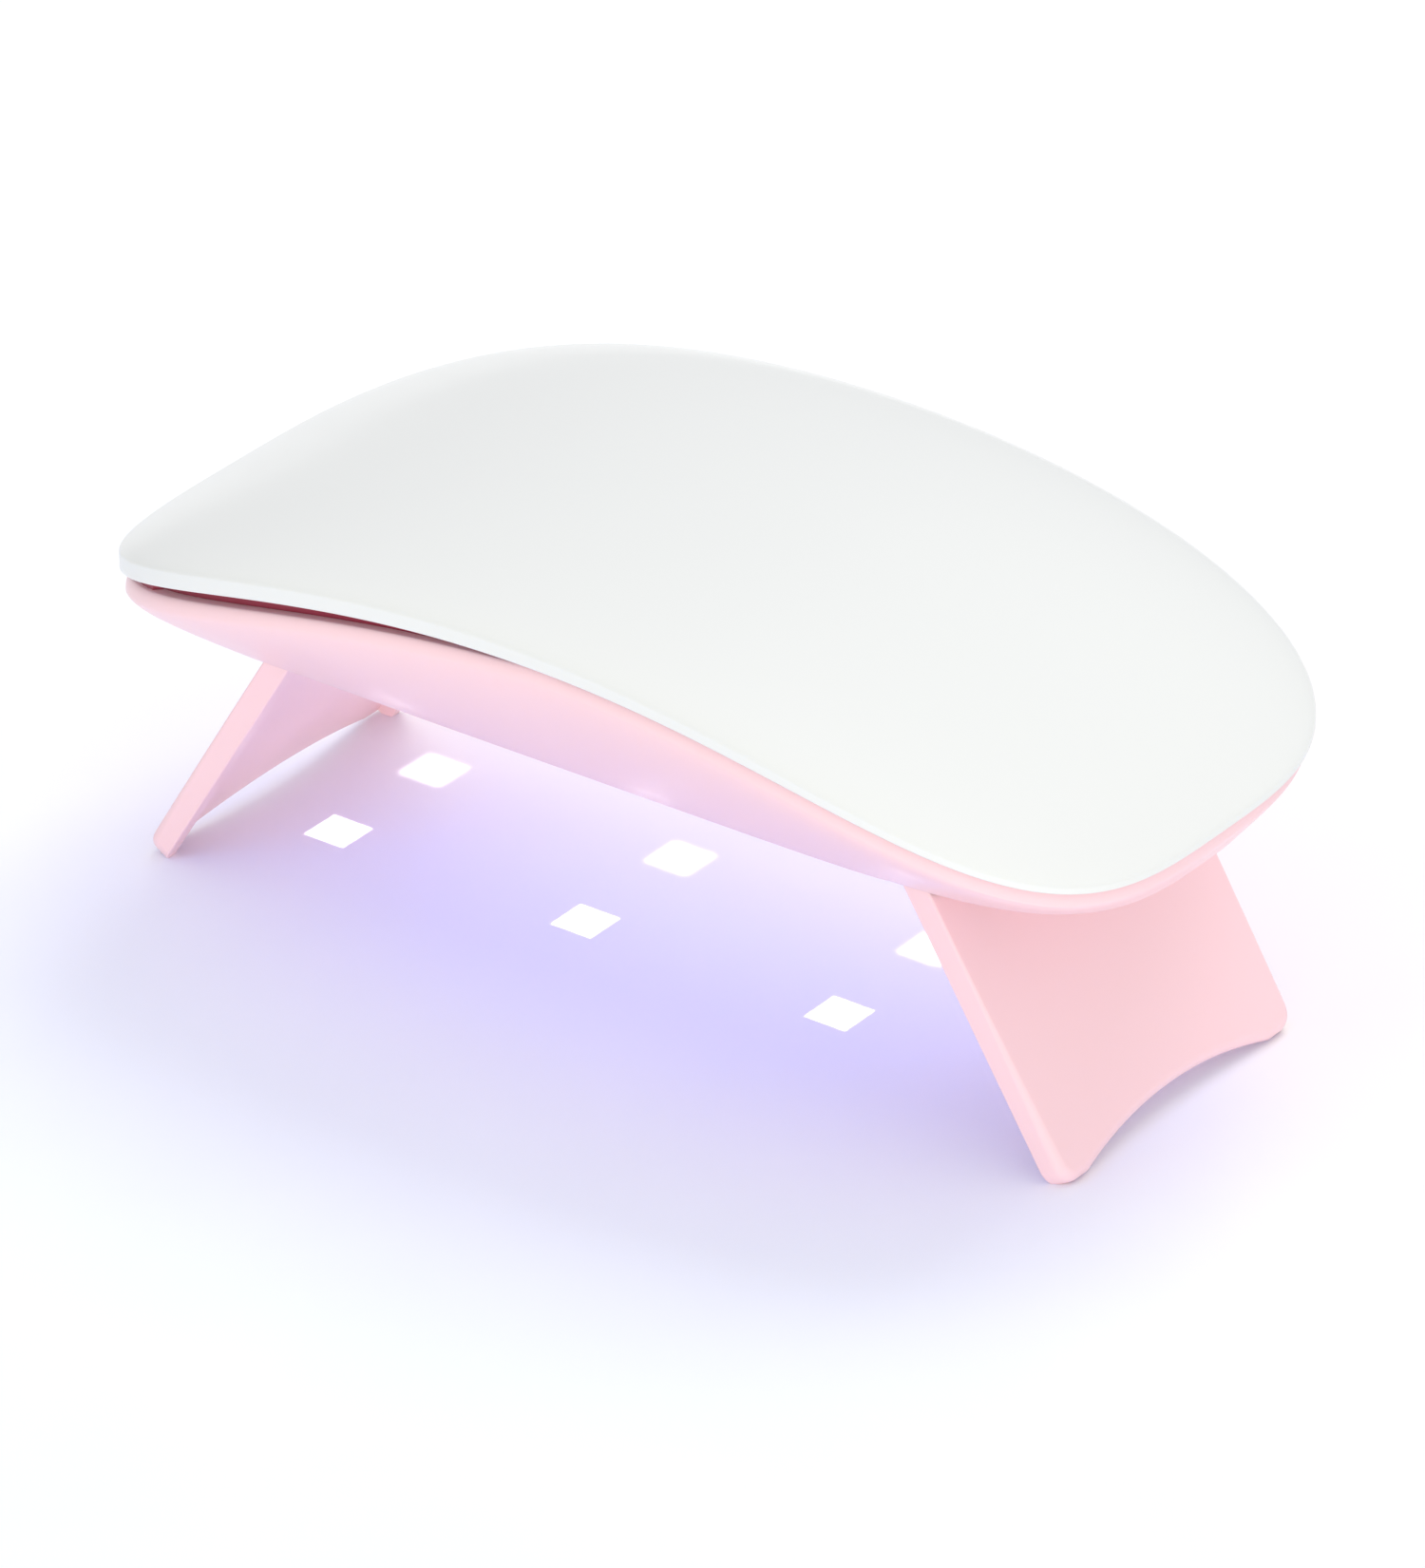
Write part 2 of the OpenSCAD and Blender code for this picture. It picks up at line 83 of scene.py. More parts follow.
COVER_LOW, COVER_HIGH = node_box("top_cover")
BASE_LOW = node_box("base_tray")[0]
LEG_HIGH = node_box("leg_right")[1]
HALF_L, HALF_W = COVER_HIGH[0], COVER_HIGH[1]
COVER_P, COVER_Q = 4.6, 3.36         # squareness of the cover's outline
EDGE_RISE, EDGE_POW = 14.6, 2.04     # the arch of the cover's lower edge
LIP, LIP_TAPER = 1.5, 0.7            # upright band along the edge
CROWN, DOME_POW = 3.8, 2.5           # height and fullness of the crowned top
EDGE_LOW = 35.5                      # lower edge at the noses
COVER_WALL = 1.6

UNDER_Z = BASE_LOW[2]
UNDER_RIGHT, UNDER_LEFT, UNDER_HALF_W = 64.2, 66.0, 22.25
UNDER_P, UNDER_Q = 5.5, 3.0
BLUNT_P, BLUNT_Q = 8.0, 4.0          # the end below the controls is blunter
RIM_INSET, RIM_SHIFT = 0.65, 0.2
BEAD_H, BEAD_W = 1.6, 0.7            # rounding of the rim
WALL_POW = 1.3                       # bulge of the side wall below it
SEAM_LEAST, SEAM_GROWTH = 0.5, 1.3
RIB_X, RIB_STEP = -53.0, 0.8         # a spacer rib fills part of the seam beyond this
RING_INSET, RING_T = 2.3, 0.72       # outer face and thickness of the ring in the seam, coloured dark rose as painted shade
BASE_WALL = 1.5
POCKET_TOP = UNDER_Z + 3.5
DECK_Z = POCKET_TOP + 1.2
POCKET_HALF = (45.35, 21.9)

PIVOT = np.array(JOINTS["leg_right_fold"]["pos_m"]) / MM
SPLAY = math.radians(31.8)
LEG_T, LEG_SKIN, LEG_FLANGE = 3.05, 1.2, 2.0
LEG_HALF = LEG_HIGH[1]
LEG_LEN, ARCH_H, ARCH_R, TOE_R = 37.25, 2.6, 58.0, 2.4
EAR_Y, EAR_T, EAR_R = 16.5, 2.0, 1.6

SCREW_R, HEAD_R, HEAD_H = 0.9, 1.7, 1.0


def middle(name):
    low, high = node_box(name)
    return (low + high) / 2


def corners_of(name):
    """Half spacings, in x and y, of a set of four screws or posts."""
    high = node_box(name)[1]
    return high[0] - HEAD_R, high[1] - HEAD_R


CONTROL_Z = middle("power_button")[2]
BUTTON_Y = middle("power_button")[1]
INLET_Y = middle("usb_socket")[1]
COVER_POST = corners_of("cover_screws")
BOARD_POST = corners_of("led_board_screws")
HINGE_POST = corners_of("hinge_screws")
POST_R, POST_BORE_R = 2.3, 1.15
POST_Z = COVER_LOW[2]
LED_BOARD_Z = node_box("led_board")[0][2]
FLOOR_Z = node_box("control_board")[0][2]
FOUR = [(sx, sy) for sx in (-1, 1) for sy in (-1, 1)]
SIDES = 320                          # points round the cover and the base
WINDOW_HALF, WINDOW_R = 2.8, 0.7     # a lamp window's face
BOARD_BORE_R = 1.1


# ---------------------------------------------------------------- mesh helpers

def make_object(name, verts, faces, smooth=True):
    """A mesh object from points in millimetres."""
    mesh = bpy.data.meshes.new(name)
    mesh.from_pydata([tuple(float(c) * MM for c in v) for v in verts], [], faces)
    mesh.update()
    obj = bpy.data.objects.new(name, mesh)
    bpy.context.scene.collection.objects.link(obj)
    for poly in mesh.polygons:
        poly.use_smooth = smooth
    return obj


def apply_modifiers(obj):
    """Bakes an object's modifiers into its mesh."""
    deps = bpy.context.evaluated_depsgraph_get()
    mesh = bpy.data.meshes.new_from_object(obj.evaluated_get(deps))
    old = obj.data
    obj.modifiers.clear()
    obj.data = mesh
    bpy.data.meshes.remove(old)
    return obj


def boolean(obj, other, operation="DIFFERENCE"):
    """Cuts or adds another object, which is used up."""
    mod = obj.modifiers.new("boolean", "BOOLEAN")
    mod.operation = operation
    mod.solver = "EXACT"
    mod.object = other
    apply_modifiers(obj)
    mesh = other.data
    bpy.data.objects.remove(other)
    bpy.data.meshes.remove(mesh)
    return obj


def join(objects):
    """Several cutters as one mesh."""
    bm = bmesh.new()
    for o in objects:
        bm.from_mesh(o.data)
    joined = objects[0]
    bm.to_mesh(joined.data)
    bm.free()
    for o in objects[1:]:
        mesh = o.data
        bpy.data.objects.remove(o)
        bpy.data.meshes.remove(mesh)
    return joined


def outward(obj):
    """Turns every face to the outside."""
    bm = bmesh.new()
    bm.from_mesh(obj.data)
    bmesh.ops.recalc_face_normals(bm, faces=bm.faces)
    bm.to_mesh(obj.data)
    bm.free()
    return obj


def named(obj, name):
    obj.name = name
    obj.data.name = name
    return obj


def finish_normals(obj, angle=32):
    """Smooth faces, sharp creases, and flat faces kept flat beside fillets."""
    for poly in obj.data.polygons:
        poly.use_smooth = True
    obj.data.set_sharp_from_angle(angle=math.radians(angle))
    mod = obj.modifiers.new("weighted", "WEIGHTED_NORMAL")
    mod.keep_sharp = True
    mod.weight = 60
    return apply_modifiers(obj)


def loft(name, rings, flip=False):
    """A closed skin through rings of equal point counts, capped at both ends."""
    count = len(rings[0])
    verts = [p for ring in rings for p in ring]
    faces = []
    for k in range(len(rings) - 1):
        for i in range(count):
            j = (i + 1) % count
            faces.append((k * count + i, k * count + j, (k + 1) * count + j, (k + 1) * count + i))
    faces.append(tuple(range(count))[::-1])
    faces.append(tuple(range((len(rings) - 1) * count, len(rings) * count)))
    if flip:
        faces = [f[::-1] for f in faces]
    return make_object(name, verts, faces)


def prism(name, outline, low, high, place):
    """A straight prism: place turns (u, v, w) into a point, w from low to high."""
    ring = [[place(u, v, w) for u, v in outline] for w in (low, high)]
    return outward(loft(name, ring))


def upright(u, v, w):
    """Prism axis along Z."""
    return (u, v, w)


def along_x(u, v, w):
    """Prism axis along X."""
    return (w, u, v)


def along_y(u, v, w):
    """Prism axis along Y."""
    return (u, w, v)


def shifted(outline, u, v):
    return [(a + u, b + v) for a, b in outline]


def soft_box(name, low, high, radius, steps=3):
    """A box with rounded edges, by its lowest and highest corners."""
    bm = bmesh.new()
    bmesh.ops.create_cube(bm, size=1)
    low, high = np.array(low, float), np.array(high, float)
    for v in bm.verts:
        v.co = Vector(tuple((low + (np.array(v.co) + 0.5) * (high - low)) * MM))
    bmesh.ops.bevel(bm, geom=list(bm.edges), offset=radius * MM, segments=steps, affect="EDGES",
                    profile=0.5)
    mesh = bpy.data.meshes.new(name)
    bm.to_mesh(mesh)
    bm.free()
    obj = bpy.data.objects.new(name, mesh)
    bpy.context.scene.collection.objects.link(obj)
    return outward(obj)


def lathe(name, profile, place, steps=40):
    """A turned piece from (radius, height) pairs, closed at both ends."""
    rings = [[place(x, y, h) for x, y in circle(r, steps)] for r, h in profile]
    return outward(loft(name, rings))


def quarter(radius, steps=5):
    """(inward, upward) offsets round a quarter circle, from the side to the face."""
    angles = [math.radians(90 * i / steps) for i in range(steps + 1)]
    return [(radius * (1 - math.cos(a)), radius * math.sin(a)) for a in angles]


def rounded_rect(half_u, half_v, radius, steps=8):
    points = []
    for cu, cv, start in ((1, 1, 0), (-1, 1, 90), (-1, -1, 180), (1, -1, 270)):
        for i in range(steps + 1):
            a = math.radians(start + 90 * i / steps)
            points.append((cu * (half_u - radius) + radius * math.cos(a),
                           cv * (half_v - radius) + radius * math.sin(a)))
    return points


def circle(radius, steps=48):
    return [(radius * math.cos(2 * math.pi * i / steps), radius * math.sin(2 * math.pi * i / steps))
            for i in range(steps)]


# ---------------------------------------------------------------- shell surfaces

def oval(a, b, p, q):
    """A squared oval of half sizes a and b; p squares its ends and q its sides."""
    t = np.arange(SIDES) * 2 * np.pi / SIDES
    c = np.cos(t)
    y = np.clip(1 - np.abs(c) ** p, 0, None) ** (1 / q)
    y[np.abs(np.sin(t)) < 1e-9] = 0
    return np.stack([a * c, np.sign(np.sin(t)) * b * y], 1)


def edge_z(x):
    """Height of the cover's lower edge."""
    return EDGE_LOW + EDGE_RISE * (1 - np.minimum(1, np.abs(x) / HALF_L) ** EDGE_POW)


def rim_z(x):
    """Top of the base's rim: the seam below the cover is widest before the controls."""
    t = np.clip(0.02 - x / HALF_L, 0, None) / 1.02
    return edge_z(x) - SEAM_LEAST - SEAM_GROWTH * np.clip(np.sin(np.pi * t ** 1.2), 0, None) ** 0.6


def band_z(x):
    """Top of the cover's upright band."""
    return edge_z(x) + LIP - LIP_TAPER * x / HALF_L


def dome_z(x, s):
    """Height of the crowned top at share s of the way out from the middle."""
    return band_z(x) + CROWN * np.sqrt(np.clip(1 - s ** DOME_POW, 0, None))


def ring3(flat, z):
    return np.column_stack([flat, z])


def cover_oval(inset):
    return oval(HALF_L - inset, HALF_W - inset, COVER_P, COVER_Q)


def build_cover():
    rings = []
    outline = cover_oval(0)
    inner = cover_oval(COVER_WALL)
    for k in range(49):
        s = math.sin(math.radians(0.6 + 89.4 * k / 48))
        flat = outline * s
        rings.append(ring3(flat, dome_z(flat[:, 0], s)))
    edge_round = 0.35
    for k in range(5):
        a = math.radians(90 * k / 4)
        flat = cover_oval(edge_round * (1 - math.cos(a)))
        rings.append(ring3(flat, edge_z(flat[:, 0]) + edge_round * (1 - math.sin(a))))
    rings.append(ring3(inner, edge_z(inner[:, 0])))
    for k in range(25):
        s = math.sin(math.radians(86 - 85 * k / 24))
        flat = inner * s
        rings.append(ring3(flat, np.maximum(edge_z(flat[:, 0]), dome_z(flat[:, 0], s) - COVER_WALL)))
    obj = loft("cover_shell", rings, flip=True)
    posts = []
    for sx, sy in FOUR:
        x = sx * (COVER_POST[0] + POST_R)
        top = dome_z(x, 0.85) - 0.7
        spot = (sx * COVER_POST[0], sy * COVER_POST[1])
        posts.append(prism("post", shifted(circle(POST_R), *spot), POST_Z, top, upright))
    obj = boolean(obj, join(posts), "UNION")
    bores = [prism("bore", shifted(circle(SCREW_R, 24), sx * COVER_POST[0], sy * COVER_POST[1]),
                   POST_Z - 1, POST_Z + 6, upright) for sx, sy in FOUR]
    return finish_normals(boolean(obj, join(bores)))


def under_oval(inset):
    plain = oval(UNDER_RIGHT - inset, UNDER_HALF_W - inset, UNDER_P, UNDER_Q)
    blunt = oval(UNDER_LEFT - inset, UNDER_HALF_W - inset, BLUNT_P, BLUNT_Q)
    return np.where(plain[:, :1] < 0, blunt, plain)


def rim_oval(inset):
    return cover_oval(RIM_INSET + inset) - np.array([RIM_SHIFT, 0])


def base_oval(k, inset):
    return under_oval(inset) * (1 - k) + rim_oval(inset) * k


def base_ring(k):
    flat = base_oval(1 - (1 - k) ** WALL_POW, 0)
    return ring3(flat, UNDER_Z + (rim_z(flat[:, 0]) - BEAD_H - UNDER_Z) * k)


def step_oval(inset):
    """Outline of the ledge inside the seam, nearer to the outside along the rib."""
    deep = cover_oval(inset)
    return np.where(deep[:, :1] < RIB_X, cover_oval(inset - RIB_STEP), deep)


def build_base():
    rings = []
    under_round = 0.5
    for k in range(5):
        a = math.radians(90 * k / 4)
        flat = base_oval(0.02 * (1 - math.cos(a)), under_round * (1 - math.sin(a)))
        rings.append(ring3(flat, UNDER_Z + under_round * (1 - math.cos(a)) + 0 * flat[:, 0]))
    for k in np.linspace(0.12, 0.95, 12):
        rings.append(base_ring(k))
    for a in np.radians(np.linspace(0, 90, 10)):
        flat = rim_oval(BEAD_W * (1 - math.cos(a)))
        rings.append(ring3(flat, rim_z(flat[:, 0]) - BEAD_H * (1 - math.sin(a))))
    flat = step_oval(3.1)
    rings.append(ring3(flat, rim_z(flat[:, 0]) - 0.1))
    for inset, lift in ((3.3, -0.12), (4.2, 0.1)):
        flat = step_oval(inset)
        rings.append(ring3(flat, edge_z(flat[:, 0]) + lift))
    flat = step_oval(4.4)
    rings.append(ring3(flat, rim_z(flat[:, 0]) - 0.8))
    flat = base_oval(0.6, BASE_WALL + 1.5)
    rings.append(ring3(flat, np.maximum(DECK_Z + 0.2, UNDER_Z + (rim_z(flat[:, 0]) - UNDER_Z) * 0.6)))
    flat = base_oval(0.25, BASE_WALL + 1.4)
    rings.append(ring3(flat, DECK_Z + 0 * flat[:, 0]))
    obj = loft("base_shell", rings)

    posts = []
    for spot, radius, top in ((BOARD_POST, 2.0, LED_BOARD_Z), (HINGE_POST, 1.9, DECK_Z + 1.1)):
        for sx, sy in FOUR:
            posts.append(prism("post", shifted(circle(radius), sx * spot[0], sy * spot[1]),
                               DECK_Z - 0.5, top, upright))
    obj = boolean(obj, join(posts), "UNION")
    pocket = prism("pocket", rounded_rect(*POCKET_HALF, 0.6), UNDER_Z - 5, POCKET_TOP, upright)
    obj = boolean(obj, pocket)
    bays = boolean(join([bay_cutter(-1), bay_cutter(1)]), join([
        prism("column", shifted(circle(POST_R + 0.5), sx * COVER_POST[0], sy * COVER_POST[1]),
              FLOOR_Z - 1, 60, upright) for sx, sy in FOUR]))
    obj = boolean(obj, bays)
    return finish_normals(boolean(obj, join(base_holes())))


def build_seam_ring():
    """The ring round the spigot, with its upper outer edge rounded; its dark rose colour is painted
    shade, standing in for the shadow deep in the seam below the cover.
    """
    back = RING_INSET + RING_T
    rings = []
    for inset, level, lift in ((RING_INSET, rim_z, -0.04), (RING_INSET, edge_z, -0.24),
                               (RING_INSET + 0.03, edge_z, -0.17), (RING_INSET + 0.1, edge_z, -0.14),
                               (back, edge_z, -0.14), (back, rim_z, -0.04)):
        flat = step_oval(inset)
        rings.append(ring3(flat, level(flat[:, 0]) + lift))
    count = SIDES
    verts = [p for ring in rings for p in ring]
    faces = []
    for k in range(len(rings)):
        after = (k + 1) % len(rings)
        for i in range(count):
            j = (i + 1) % count
            faces.append((k * count + i, k * count + j, after * count + j, after * count + i))
    # dark ring as painted shade: it fills the seam where there is only shadow
    return finish_normals(outward(make_object("seam_shade_liner", verts, faces)))


def bay_cutter(side):
    """An end compartment's space, cut down to its floor."""
    start, inset = 47.2, 1.7
    flat = oval(UNDER_RIGHT - inset, UNDER_HALF_W - inset, UNDER_P, UNDER_Q)
    kept = [p for p in np.roll(flat, SIDES // 4, 0) if p[0] > start]
    rows = [(start, kept[0][1])] + [tuple(p) for p in kept] + [(start, kept[-1][1])]
    return prism("bay", [(side * x, y) for x, y in rows], FLOOR_Z, FLOOR_Z + 10, upright)


def base_holes():
    """Cutters for the windows, hinge ears, screws, inlet, button and light pipe."""
    holes = []

    def hole(outline, u, v, low, high, place=upright):
        holes.append(prism("hole", shifted(outline, u, v), low, high, place))

    for i in range(1, 7):
        spot = middle(f"led_window_{i}")
        hole(rounded_rect(WINDOW_HALF + 0.1, WINDOW_HALF + 0.1, WINDOW_R), spot[0], spot[1],
             POCKET_TOP - 1, DECK_Z + 1)
    for sx, sy in FOUR:
        hole(rounded_rect(EAR_R + 0.1, EAR_T / 2 + 0.1, 0.1), sx * PIVOT[0], sy * EAR_Y,
             POCKET_TOP - 1, DECK_Z + 1)
        hole(circle(HEAD_R + 0.2), sx * COVER_POST[0], sy * COVER_POST[1], UNDER_Z - 1, UNDER_Z + 1.2)
        hole(circle(POST_BORE_R, 24), sx * COVER_POST[0], sy * COVER_POST[1],
             UNDER_Z + 1.1, POST_Z + 0.1)
        hole(circle(POST_R + 0.05), sx * COVER_POST[0], sy * COVER_POST[1], POST_Z, 45)
        hole(circle(SCREW_R, 24), sx * BOARD_POST[0], sy * BOARD_POST[1], 34, 45)
        hole(circle(SCREW_R, 24), sx * HINGE_POST[0], sy * HINGE_POST[1], 33.9, 45)
    hole(rounded_rect(3.9, 1.37, 0.4), INLET_Y, CONTROL_Z, -70, -60, along_x)
    hole(rounded_rect(3.55, 1.4, 1.38), BUTTON_Y, CONTROL_Z, -70, -60, along_x)
    hole(circle(1.05), 0, CONTROL_Z, -70, -60, along_x)
    return holes


# ---------------------------------------------------------------- legs

def leg_outline(inset=0.0, steps=64):
    """Outline of a leg in its own plane as (across, down), inset all round."""
    half = LEG_HALF - inset
    toe_r = TOE_R - inset
    bottom = LEG_LEN - inset
    arch_r = ARCH_R + inset
    arch_c = LEG_LEN - ARCH_H + ARCH_R
    top = 0.0
    points = []
    cy, cd = LEG_HALF - TOE_R, LEG_LEN - TOE_R
    for i in range(13):
        a = math.radians(90 * i / 12)
        points.append((cy + toe_r * math.cos(a), cd + toe_r * math.sin(a)))
    chord = math.sqrt(arch_r ** 2 - (arch_c - bottom) ** 2)
    for y in np.linspace(chord, -chord, steps):
        points.append((y, arch_c - math.sqrt(arch_r ** 2 - y * y)))
    for i in range(13):
        a = math.radians(90 + 90 * i / 12)
        points.append((-cy + toe_r * math.cos(a), cd + toe_r * math.sin(a)))
    for d in np.linspace(cd - 1, top, 16):
        points.append((-half, d))
    for y in np.linspace(-half, half, 5)[1:-1]:
        points.append((y, top))
    for d in np.linspace(top, cd - 1, 16):
        points.append((half, d))
    return points


def edge_radius(down):
    """The rounding of a leg's outer edge grows towards its toes."""
    t = min(1, max(0, down / LEG_LEN))
    return 0.3 + 0.95 * t ** 2


def build_leg(name, side):
    """A leg plate with its barrel, recess, bore and notches, splayed and cut off level."""
    rings = []
    base = np.array(leg_outline(0))
    down = base[:, 1]
    radius = np.array([edge_radius(d) for d in down])
    near_top = down < 0.5
    step = 0.5
    unit = (np.array(leg_outline(step)) - base) / step
    half_t = LEG_T / 2
    low_r = 0.25
    for k in range(4):
        a = math.radians(90 * k / 3)
        flat = base + unit * (low_r * (1 - math.sin(a)))
        rings.append(np.column_stack([np.full(len(flat), -half_t + low_r * (1 - math.cos(a))), flat]))
    for k in range(7):
        a = math.radians(90 * k / 6)
        r = np.where(near_top, 0.0, radius)
        flat = base + unit * (r * (1 - math.cos(a)))[:, None]
        h = half_t - r + r * math.sin(a)
        rings.append(np.column_stack([h, flat]))
    obj = loft(name, [[(h, y, -d) for h, y, d in ring] for ring in rings], flip=True)

    barrel = prism("barrel", circle(half_t - 0.02, 40), -LEG_HALF, LEG_HALF, along_y)
    obj = boolean(obj, barrel, "UNION")
    root = 3.4
    recess = prism("recess", [(u, -v) for u, v in recess_outline(root)], -half_t - 1,
                   half_t - LEG_SKIN, along_x)
    obj = boolean(obj, recess)
    cuts = [prism("bore", circle(0.8, 32), -LEG_HALF - 1, LEG_HALF + 1, along_y)]
    for s in (-1, 1):
        cuts.append(prism("notch", circle(EAR_R + 0.35, 40), s * EAR_Y - EAR_T / 2 - 0.3,
                          s * EAR_Y + EAR_T / 2 + 0.3, along_y))
    obj = boolean(obj, cuts[0])
    obj = boolean(obj, join(cuts[1:]))
    turn = Matrix.Rotation(-SPLAY, 4, "Y")
    obj.data.transform(turn)
    obj.data.transform(Matrix.Translation(Vector(PIVOT) * MM))
    if side < 0:
        obj.data.transform(Matrix.Scale(-1, 4, (1, 0, 0)))
        obj.data.flip_normals()
    floor = prism("floor_cut", rounded_rect(90, 60, 1), -10, 0, upright)
    obj = boolean(obj, floor)
    return finish_normals(obj)


def recess_outline(root):
    """The hollow on a leg's inner side, open towards the foot."""
    half = LEG_HALF - LEG_FLANGE
    r = 1.2
    points = []
    for i in range(9):
        a = math.radians(180 + 90 * i / 8)
        points.append((-half + r + r * math.cos(a), root + r + r * math.sin(a)))
    for i in range(9):
        a = math.radians(270 + 90 * i / 8)
        points.append((half - r + r * math.cos(a), root + r + r * math.sin(a)))
    points.append((half, LEG_LEN + 2))
    points.append((-half, LEG_LEN + 2))
    return points


# ---------------------------------------------------------------- small parts

def screw_set(name, spots, top, down=1, length=3.0):
    """Pan head screws with a cross recess: top of the head at a height, pointing down or up."""
    profile = [(HEAD_R * 0.45, 0), (HEAD_R * 0.8, -0.1), (HEAD_R * 0.96, -0.3), (HEAD_R, -0.55),
               (HEAD_R, -HEAD_H), (SCREW_R, -HEAD_H)]
    pitch = 0.4
    for k in range(int(length / pitch) - 1):
        z = -HEAD_H - pitch / 2 - pitch * k
        profile += [(SCREW_R * 0.78, z), (SCREW_R, z - pitch / 2)]
    profile += [(SCREW_R * 0.7, -HEAD_H - length + 0.15), (SCREW_R * 0.4, -HEAD_H - length)]
    master = lathe("screw", profile, upright, 28)
    arms = [prism("arm", rounded_rect(*half, 0.05, 2), -0.6, 1, upright)
            for half in ((1.05, 0.2), (0.2, 1.05))]
    master = boolean(boolean(master, arms[0]), arms[1])
    points = [np.array(v.co) / MM for v in master.data.vertices]
    faces = [tuple(f.vertices) for f in master.data.polygons]
    verts, all_faces = [], []
    for n, (x, y) in enumerate(spots):
        turn = math.radians(23 + 37 * n)
        c, si = math.cos(turn), math.sin(turn)
        start = len(verts)
        verts += [(x + c * px - si * py, y + si * px + c * py, top + down * pz) for px, py, pz in points]
        all_faces += [tuple(start + i for i in f) for f in faces]
    mesh = master.data
    bpy.data.objects.remove(master)
    bpy.data.meshes.remove(mesh)
    return finish_normals(outward(make_object(name, verts, all_faces)))


def four(spot):
    return [(sx * spot[0], sy * spot[1]) for sx, sy in FOUR]


def rounded_cup(name, outlines, place):
    """A skin through (outline, height) rings, in order, closed at both ends."""
    return finish_normals(outward(loft(name, [[place(u, v, w) for u, v in o] for o, w in outlines])))


def build_window(index):
    """Frosted lens: a rounded square that drops through the ceiling, flanged behind it."""
    node = f"led_window_{index}"
    low, high = node_box(node)
    x, y = middle(node)[:2]
    half, edge_r = WINDOW_HALF, 0.3
    wide = high[0] - x
    rings = [(shifted(rounded_rect(half - i, half - i, WINDOW_R), x, y), low[2] + edge_r - up)
             for i, up in reversed(quarter(edge_r))]
    rings += [(shifted(rounded_rect(half, half, WINDOW_R), x, y), DECK_Z),
              (shifted(rounded_rect(wide, wide, 0.9), x, y), DECK_Z),
              (shifted(rounded_rect(wide, wide, 0.9), x, y), high[2])]
    return rounded_cup(f"lamp_window_{index}", rings, upright)


def build_emitter(index):
    """A lamp: square ceramic base with a low silicone dome below it."""
    node = f"uv_led_{index}"
    low, high = node_box(node)
    x, y = middle(node)[:2]
    base = soft_box("base", (low[0], low[1], high[2] - 0.4), high, 0.1, 2)
    rise = high[2] - 0.35 - low[2]
    dome = lathe("dome", [(1.5 * math.cos(a), high[2] - 0.35 - rise * math.sin(a))
                          for a in np.radians(np.linspace(0, 84, 9))],
                 lambda u, v, w: (u + x, v + y, w), 32)
    return finish_normals(named(join([base, dome]), f"uv_emitter_{index}"))


def build_button():
    """Capsule shaped button with a soft face and a wider collar inside."""
    low, high = node_box("power_button")
    width, height = 3.3, high[2] - CONTROL_Z
    rings = []
    for i, up in reversed(quarter(0.4)):
        rings.append((rounded_rect(width - i, height - i, height - i - 0.01, 10), low[0] + 0.4 - up))
    rings.append((rounded_rect(width, height, height - 0.01, 10), high[0] - 0.5))
    body = outward(loft("cap", [[along_x(u + BUTTON_Y, v + CONTROL_Z, w) for u, v in o]
                                for o, w in rings]))
    collar = soft_box("collar", (high[0] - 0.6, low[1], low[2]), high, 0.12, 2)
    return finish_normals(named(join([body, collar]), "button_cap"))


def socket_outline(grow):
    """The inlet's mouth: wide above and pinched below, with rounded corners."""
    low, high = node_box("usb_socket")
    w = (high[1] - low[1]) / 2 - 0.3 + grow
    h = (high[2] - low[2]) / 2 - 0.3 + grow
    corners = [(-w, h), (w, h), (w, -h * 0.1), (w - 1, -h), (-w + 1, -h), (-w, -h * 0.1)]
    points = []
    for k, corner in enumerate(corners):
        before, after = np.array(corners[k - 1]), np.array(corners[(k + 1) % 6])
        corner = np.array(corner)
        a = corner + (before - corner) / np.linalg.norm(before - corner) * 0.35
        b = corner + (after - corner) / np.linalg.norm(after - corner) * 0.35
        for t in np.linspace(0, 1, 6):
            points.append(tuple(a * (1 - t) ** 2 + corner * 2 * t * (1 - t) + b * t ** 2))
    return shifted(points, INLET_Y, CONTROL_Z)


def build_socket():
    low, high = node_box("usb_socket")
    rings = [(socket_outline(0.25), high[0]), (socket_outline(0.3), high[0] - 0.1),
             (socket_outline(0.3), low[0] + 0.1), (socket_outline(0.22), low[0]),
             (socket_outline(0.08), low[0]), (socket_outline(0), low[0] + 0.1),
             (socket_outline(0), high[0] - 1)]
    return rounded_cup("inlet_shell", rings, along_x)


def build_tongue():
    low, high = node_box("usb_tongue")
    return finish_normals(soft_box("inlet_tongue", low, high, 0.12, 2))


def build_contacts():
    low, high = node_box("usb_tongue")
    strips = []
    for k in range(5):
        y = INLET_Y + (k - 2) * 0.65
        strips.append(soft_box("strip", (low[0] + 0.4, y - 0.16, low[2] - 0.06),
                               (high[0] - 0.4, y + 0.16, low[2] + 0.1), 0.03, 1))
    return named(join(strips), "inlet_contacts")


def build_pipe():
    low, high = node_box("light_pipe")
    radius = (high[1] - low[1]) / 2
    profile = [(radius * 0.35, low[0]), (radius * 0.7, low[0] + 0.12), (radius * 0.92, low[0] + 0.35),
               (radius, low[0] + 0.7), (radius, high[0] - 0.15), (radius * 0.85, high[0])]
    return finish_normals(lathe("indicator_lens", profile, lambda u, v, w: (w, u, v + CONTROL_Z)))


